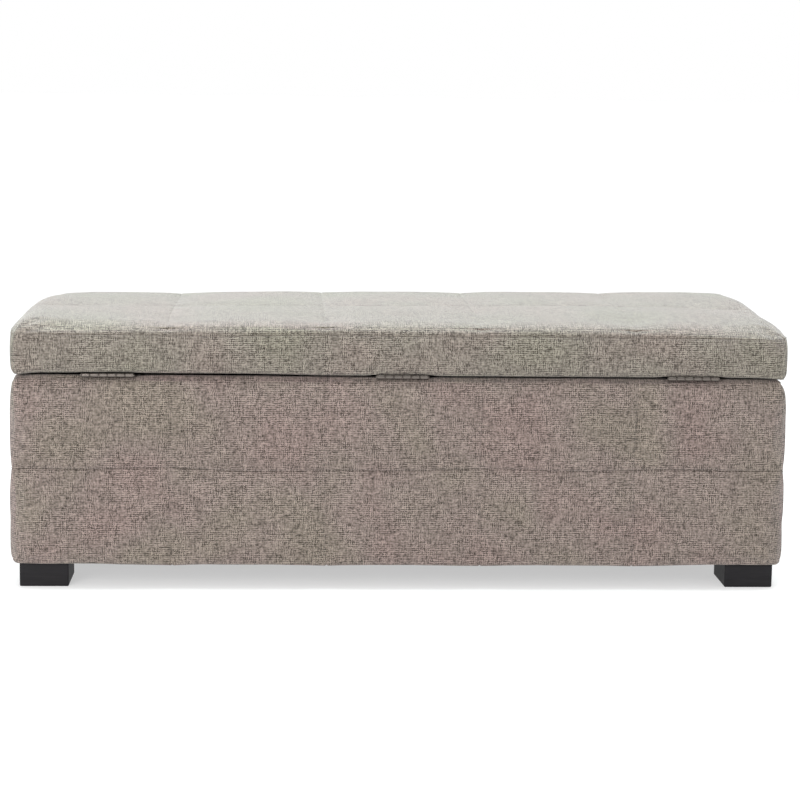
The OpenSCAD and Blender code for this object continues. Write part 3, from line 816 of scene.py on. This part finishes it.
    piece = mesh_piece("lid_cover_quilted", shaped, quads)
    pinned = bottom | (distance < ON_SEAM) | (p[:, 2] < low[2] + 3 * MM)
    no_seam_near = 0.2
    seams = (np.where(bottom, no_seam_near, distance), along, pull, seam_name)
    sewn(piece, seams, np.where(bottom, 0.0, 1.0), pinned, seed=21)
    stitches("lid_cover_stitches", piece, SEAM_ROUND, "lid", PALE_THREAD)
    thicken(piece, CLOTH_T, -1)
    paint(piece, LID_LINEN)
    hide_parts("lid_cover")
    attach(piece, "lid")


def ring(xs, ys):
    """The points of a rectangle's outline, once round from the corner at -x, -y."""
    x0, x1, y0, y1 = xs[0], xs[-1], ys[0], ys[-1]
    return np.array(
        [(x, y0) for x in xs[:-1]]
        + [(x1, y) for y in ys[:-1]]
        + [(x, y1) for x in xs[:0:-1]]
        + [(x0, y) for y in ys[:0:-1]]
    )


def round_outline(outline, inset, radius):
    """The outline moved in by inset, with round corners."""
    half = abs(outline).max(0)
    p = outline * (half - inset) / half
    r = max(radius, 0.5 * MM)
    core = np.clip(p, -(half - inset - r), half - inset - r)
    d = p - core
    return core + unit(d) * r


def arc(cx, cz, radius, start, end, steps):
    """Points (inset, z) on an arc, from start to end degrees; 0 points outwards and 90 up."""
    return [
        (cx - radius * math.cos(math.radians(a)), cz + radius * math.sin(math.radians(a)))
        for a in np.linspace(start, end, steps)
    ]


def sweep(name, outline, profile, radius_at):
    """A closed band: the profile's points (inset, z) carried round the outline."""
    rows = []
    for inset, z in profile:
        plan = round_outline(outline, inset, radius_at(inset))
        rows.append(np.column_stack([plan, np.full(len(plan), z)]))
    n = len(outline)
    i = np.arange(n)
    nxt = (i + 1) % n
    quads = [np.stack([k * n + i, k * n + nxt, (k + 1) * n + nxt, (k + 1) * n + i], 1)
             for k in range(len(profile) - 1)]
    return mesh_piece(name, np.concatenate(rows), np.concatenate(quads))


def body_cover():
    """The box's cover: 5 by 2 biscuits round the sides, folded over the rim and under the walls."""
    corner = 12 * MM
    wall_inset = 0.2 * MM
    fold = 31 * MM
    z0, z1 = BODY_LOW[2], BODY_HIGH[2]
    seam_z = 0.192
    seam_shift = 5 * MM
    half = BODY_HIGH[:2]
    roll_low, roll_high = 4.5 * MM, 9 * MM
    flap_inset = BODY_HIGH[0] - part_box("wall_lining")[1][0] - 0.2 * MM
    flap_z = z1 - 32 * MM
    coarse, fine = 14 * MM, 1.6 * MM
    edge = 20 * MM
    column_xs = [x + seam_shift for x in COLUMN_SEAMS]
    xs = graded([-half[0], -half[0] + edge, *column_xs, half[0] - edge, half[0]], fine, coarse)
    ys = graded([-half[1], -half[1] + edge, 0, half[1] - edge, half[1]], fine, coarse)
    outline = ring(xs, ys)
    wall = graded([z0 + roll_low, seam_z, z1 - roll_high], fine, coarse)
    sag = 3.2 * MM
    profile = [(fold, z0), (fold * 0.55, z0), (9 * MM, z0), (7.4 * MM, z0 - 0.9 * MM)]
    profile += arc(wall_inset + roll_low, z0 - sag + roll_low, roll_low, -90, 0, 5)
    profile += [(wall_inset, z) for z in wall[1:-1]]
    profile += arc(wall_inset + roll_high, z1 - roll_high, roll_high, 0, 90, 6)
    profile += [(wall_inset + roll_high + step * MM, z1) for step in (2, 4.5, 8, 12.5)]
    profile += [(flap_inset - 2 * MM, z1)]
    profile += [(flap_inset - 0.6 * MM, z1 - 0.5 * MM), (flap_inset, z1 - 2 * MM)]
    profile += [(flap_inset, z1 - 14 * MM), (flap_inset, flap_z)]
    piece = sweep("body_cover_quilted", outline, profile, lambda inset: corner - inset)
    points = get_points(piece.data)
    n = len(outline)
    flat = np.tile(outline, (len(profile), 1))
    inset = np.repeat([p[0] for p in profile], n)
    z = np.repeat([p[1] for p in profile], n)
    on_end = half[0] - abs(flat[:, 0]) < half[1] - abs(flat[:, 1])
    columns = np.min([abs(flat[:, 0] - x) for x in column_xs], axis=0)
    columns = np.minimum(columns, abs(flat[:, 1]))
    around = np.where(on_end, flat[:, 1] * np.sign(flat[:, 0]) + 2, -flat[:, 0] * np.sign(flat[:, 1]))
    to_corner = np.hypot(half[0] - abs(flat[:, 0]), half[1] - abs(flat[:, 1]))
    row_pull = 0.3 + 0.7 * ease_in(to_corner, 10 * MM, 60 * MM)
    seams = nearest_seam([
        (abs(z - seam_z), around, row_pull, SEAM_ROUND),
        (columns, z, 0.8, SEAM_COLUMN),
    ])
    distance = seams[0]
    outer = (inset < wall_inset + 6 * MM) & (z < z1 - 0.5 * MM)
    to_edge = np.minimum(z - z0, z1 - z) + 3 * MM
    height = puff(np.minimum(distance + 14 * MM * (1 - row_pull), to_edge), 2.2 * MM, 13 * MM) * outer
    hinge_side = ease_in(-flat[:, 1], 0.19, 0.20)
    height *= 1 - 0.9 * bell(z1 - z, 16 * MM) * hinge_side
    belly = 2.0 * MM
    height += belly * ease_in(-z, -0.30, -0.10) * outer
    outward = unit(points[:, :2] - np.clip(points[:, :2], -(half - 14 * MM), half - 14 * MM))
    points[:, :2] += outward * height[:, None]
    near_seam = bell(z - seam_z, 60 * MM) * outer
    points[:, 2] += waves(around, 31, (1.1, 0.47, 0.26), 2.2 * MM) * near_seam
    sway = waves(z, 32, (0.31, 0.17), 1.0 * MM) * (bell(columns, 40 * MM) * outer)
    points[:, 0] += np.where(on_end, 0, sway)
    points[:, 1] += np.where(on_end, sway, 0)
    # at the hinge side the rim is padded up towards the lid, between the hinges
    rim = ease_in(inset, 8 * MM, 16 * MM) * (1 - ease_in(inset, 18 * MM, 25 * MM)) * hinge_side
    rise = (1.7 - 1.0 * ease_in(flat[:, 0], *CREASE_TURN)) * MM
    points[:, 2] += rise * rim * beside_hinges(flat[:, 0]) * (z > z1 - 6 * MM)
    # and droops over the outer edge
    droop = 3.4 * MM
    by_edge = fade(z1 - z, 11 * MM) * (1 - ease_in(inset, 7 * MM, 12 * MM)) * hinge_side
    points[:, 2] -= droop * by_edge
    # the upper corners at the right are wrapped a little tighter
    tuck = 4.5 * MM * ease_in(flat[:, 0], 0.55, 0.60)
    points[:, 0] -= tuck * bell(z1 - z, 14 * MM) * outer
    set_points(piece.data, points)
    pinned = ~outer | (distance < ON_SEAM)
    sewn(piece, seams, outer.astype(float), pinned, seed=41)
    stitches("body_cover_stitches", piece, SEAM_ROUND, "box", THREAD)
    thicken(piece, CLOTH_T, -1)
    paint(piece, BODY_LINEN)
    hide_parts("body_cover")
    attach(piece, "box")


# ---------------------------------------------------------------- foam under the covers


def soft_slab(name, node, corner, seed, body, shrink):
    """A foam slab in the place of its CAD solid, with rounded edges and a slightly uneven surface.

    shrink is how much smaller it is at each side, along X, Y and Z.
    """
    low, high = (np.array(c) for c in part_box(node))
    low, high = low + shrink, high - shrink
    corner = min(corner, *(0.45 * (high - low)))
    axes = [graded([a, a + corner, b - corner, b], corner / 2, 25 * MM) for a, b in zip(low, high)]
    p, quads = box_grid(*axes)
    p = rounded(p, low, high, lambda share: np.full(len(p), corner), corner, corner)
    mid = (low + high) / 2
    p = mid + (p - mid) * (1 - 0.0004 * (1 + lumps(p, seed, 0.09, 0.5)))[:, None]
    piece = mesh_piece(name, p, quads)
    paint(piece, FOAM)
    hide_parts(node)
    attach(piece, body)


def welded(points, faces):
    """Joins points that lie on each other."""
    _, first, to = np.unique(np.round(points, 7), axis=0, return_index=True, return_inverse=True)
    return points[first], to.reshape(-1)[faces]


def lid_foam():
    """The foam cap: it covers the board and wraps its edges, and sags with the cover."""
    low, high = (np.array(c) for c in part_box("lid_foam"))
    board_low, board_high = (np.array(c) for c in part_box("lid_board"))
    low[:2] += 1.0 * MM
    high[:2] -= 1.0 * MM
    high[2] -= 3.5 * MM
    corner, coarse = 12 * MM, 25 * MM
    stops = [[a, a + corner, b - corner, b] for a, b in zip(low[:2], high[:2])]
    xs, ys = (np.unique(np.concatenate([graded(t, 4 * MM, coarse), [a, b]]))
              for t, a, b in zip(stops, board_low, board_high))
    zs = graded([low[2], board_high[2], high[2] - corner, high[2]], 3 * MM, 12 * MM)
    skirt, skirt_quads = box_grid(xs, ys, zs, (board_high[0], board_high[1]))
    skirt = rounded(skirt, low, high, lambda share: (6 + 10 * share) * MM, 0.5 * MM, corner)
    skirt[:, 2] -= lid_sag(skirt[:, 0], skirt[:, 1]) * ease_in(skirt[:, 2], board_high[2], high[2])
    hair = 1e-9
    inside = [v[(v >= a - hair) & (v <= b + hair)]
              for v, a, b in zip((xs, ys, zs), board_low, board_high)]
    inside[2] = np.array([low[2], board_high[2]])
    roof, roof_quads = box_grid(*inside, (board_high[0] * 2, board_high[1] * 2))
    p, quads = welded(np.concatenate([skirt, roof]),
                      np.concatenate([skirt_quads, roof_quads[:, ::-1] + len(skirt)]))
    piece = mesh_piece("lid_foam_cap", p, quads)
    paint(piece, FOAM)
    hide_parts("lid_foam")
    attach(piece, "lid")


def foam_pieces():
    """The lid's foam cap, and the box's padding. The padding is shorter, to clear the drooping rim."""
    lid_foam()
    shrink = np.array([0.3, 0.3, 2.5]) * MM
    for side in ("front", "back", "left", "right"):
        soft_slab(f"{side}_padding_foam", f"{side}_padding", 2 * MM, len(side), "box", shrink)


# ---------------------------------------------------------------- linings


LINING_T = 0.7 * MM
WALL_LINING_T = 0.6 * MM


def hem(gap, width=9 * MM):
    """Height of the turned-under hem at some distance from the sheet's edge."""
    return 0.35 * MM * (1 - ease_in(gap, width - 1.5 * MM, width + 1.5 * MM))


def flat_lining(name, node, material, body, z, slack, side, hemmed=True):
    """A lining that lies flat: side is 1 if its shown face is up and -1 if it is down."""
    low, high = (np.array(c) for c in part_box(node))
    trim = 0.3 * MM
    edge = 14 * MM
    xs, ys = (graded([a + trim, a + trim + edge, b - trim - edge, b - trim], 2.5 * MM, 9 * MM)
              for a, b in zip(low[:2], high[:2]))
    gx, gy = np.meshgrid(xs, ys, indexing="ij")
    p = np.column_stack([gx.ravel(), gy.ravel(), np.zeros(gx.size)])
    gap = np.minimum(high[0] - abs(p[:, 0]), high[1] - abs(p[:, 1]))
    seed = len(node)
    calm = ease_in(gap, 0, 25 * MM)
    height = (lumps(p, seed, 0.17, 0.5) + lumps(p, seed + 1, 0.045, 0.16)) * slack * calm
    height += hem(gap) if hemmed else 0
    p[:, 2] = z + side * height
    ids = np.arange(gx.size).reshape(gx.shape)
    quads = np.stack([ids[:-1, :-1], ids[1:, :-1], ids[1:, 1:], ids[:-1, 1:]], -1).reshape(-1, 4)
    piece = mesh_piece(name, p, quads[:, ::side])
    thicken(piece, LINING_T, 0)
    paint(piece, material)
    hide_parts(node)
    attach(piece, body)


def wall_lining():
    """One strip round the inside of the walls. It is slack between its fixings, outwards only."""
    low, high = (np.array(c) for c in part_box("wall_lining"))
    trim = 0.35 * MM
    half = high[:2] - 1.15 * MM
    corner = 5 * MM
    xs, ys = (graded([-h, -h + 2 * corner, h - 2 * corner, h], 2 * MM, 9 * MM) for h in half)
    outline = ring(xs, ys)
    zs = graded([low[2] + trim, low[2] + 14 * MM, high[2] - 14 * MM, high[2] - trim], 2.5 * MM, 10 * MM)
    piece = sweep("wall_lining_cloth", outline, [(0, z) for z in zs], lambda inset: corner)
    p = get_points(piece.data)
    z = p[:, 2]
    gap = np.minimum(z - low[2], high[2] - z)
    slack = (lumps(p, 61, 0.19, 0.45) + lumps(p, 62, 0.06, 0.15) + 0.5) * MM
    slack *= ease_in(gap, 0, 25 * MM)
    slack -= np.where(z > 0.2, hem(high[2] - z), 0)
    out = unit(p[:, :2] - np.clip(p[:, :2], corner - half, half - corner))
    p[:, :2] += out * np.clip(slack, -0.4 * MM, 1.4 * MM)[:, None]
    set_points(piece.data, p)
    thicken(piece, WALL_LINING_T, 0)
    paint(piece, LINING)
    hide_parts("wall_lining")
    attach(piece, "box")


# ---------------------------------------------------------------- feet


def foot(node):
    """A solid wooden block: eased edges, and a softened lower edge where it meets the floor."""
    low, high = (np.array(c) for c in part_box(node))
    ease = 2.6 * MM
    axes = [graded([a, a + ease, b - ease, b], ease / 3, 14 * MM) for a, b in zip(low, high)]
    p, quads = box_grid(*axes)
    p = rounded(p, low, high, lambda share: np.full(len(p), ease), ease, 0.8 * MM)
    piece = mesh_piece(node + "_block", p, quads)
    paint(piece, DARK_WOOD)
    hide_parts(node)
    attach(piece, "box")


lid_cover()
body_cover()
foam_pieces()
wall_lining()
flat_lining("floor_lining_cloth", "floor_lining", LINING, "box",
            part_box("floor_lining")[0][2] + 0.4 * MM, 0.7 * MM, 1)
flat_lining("lid_lining_cloth", "lid_lining", LINING, "lid",
            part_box("lid_lining")[1][2] - 0.7 * MM, 0.5 * MM, -1)
flat_lining("dust_cover_cloth", "dust_cover", DUST_CLOTH, "box",
            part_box("dust_cover")[0][2] + 0.5 * MM, 0.2 * MM, -1, False)
for side_y in ("front", "back"):
    for side_x in ("left", "right"):
        foot(f"foot_{side_y}_{side_x}")

# ---------------------------------------------------------------- stage


def stage():
    """A pale floor that glows a little, a white world, and plain colours."""
    mesh = bpy.data.meshes.new("floor")
    half = 60.0
    corners = [(-half, -half, 0), (half, -half, 0), (half, half, 0), (-half, half, 0)]
    mesh.from_pydata(corners, [], [(0, 1, 2, 3)])
    floor = bpy.data.objects.new("floor", mesh)
    bpy.context.scene.collection.objects.link(floor)
    s = Shader("pale_floor", 0.85, specular=0.1)
    s.colour((0.5, 0.5, 0.5, 1.0))
    s.bsdf.inputs["Emission Color"].default_value = (1, 1, 1, 1)
    s.bsdf.inputs["Emission Strength"].default_value = 0.5
    floor.data.materials.append(s.material)

    world = bpy.data.worlds.new("studio")
    world.use_nodes = True
    world.node_tree.nodes["Background"].inputs[0].default_value = (1, 1, 1, 1)
    world.node_tree.nodes["Background"].inputs[1].default_value = 1.0
    bpy.context.scene.world = world
    bpy.context.scene.view_settings.view_transform = "Standard"


def area_light(name, place, target, size, power, colour):
    light = bpy.data.lights.new(name, "AREA")
    light.color = colour
    light.shape = "RECTANGLE"
    light.size, light.size_y = size
    light.energy = power
    lamp = bpy.data.objects.new(name, light)
    lamp.location = place
    lamp.rotation_euler = (Vector(target) - Vector(place)).to_track_quat("-Z", "Y").to_euler()
    bpy.context.scene.collection.objects.link(lamp)


def camera():
    """A long lens, slightly left of the middle and above the bench, turned a little past square."""
    yaw, pitch, roll = (math.radians(a) for a in (-2.98, 8.88, -0.8))
    turn = Matrix.Rotation(-roll, 3, "Y") @ Matrix.Rotation(pitch, 3, "X") @ Matrix.Rotation(-yaw, 3, "Z")
    right, ahead, up = turn.row[0], turn.row[1], turn.row[2]
    data = bpy.data.cameras.new("camera")
    data.lens = 95.0
    data.sensor_width = 36.0
    cam = bpy.data.objects.new("camera", data)
    place = (-0.173, -3.483, 0.813)
    cam.matrix_world = Matrix((
        (right[0], up[0], -ahead[0], place[0]),
        (right[1], up[1], -ahead[1], place[1]),
        (right[2], up[2], -ahead[2], place[2]),
        (0, 0, 0, 1),
    ))
    bpy.context.scene.collection.objects.link(cam)
    bpy.context.scene.camera = cam


stage()
camera()
area_light("overhead", (0, 0.1, 2.6), (0, 0, 0.4), (3.0, 1.6), 98, (0.90, 0.985, 1.0))
area_light("front_fill", (-1.6, -3.2, 1.3), (0, 0, 0.25), (1.6, 1.6), 55, (1.0, 0.98, 0.96))
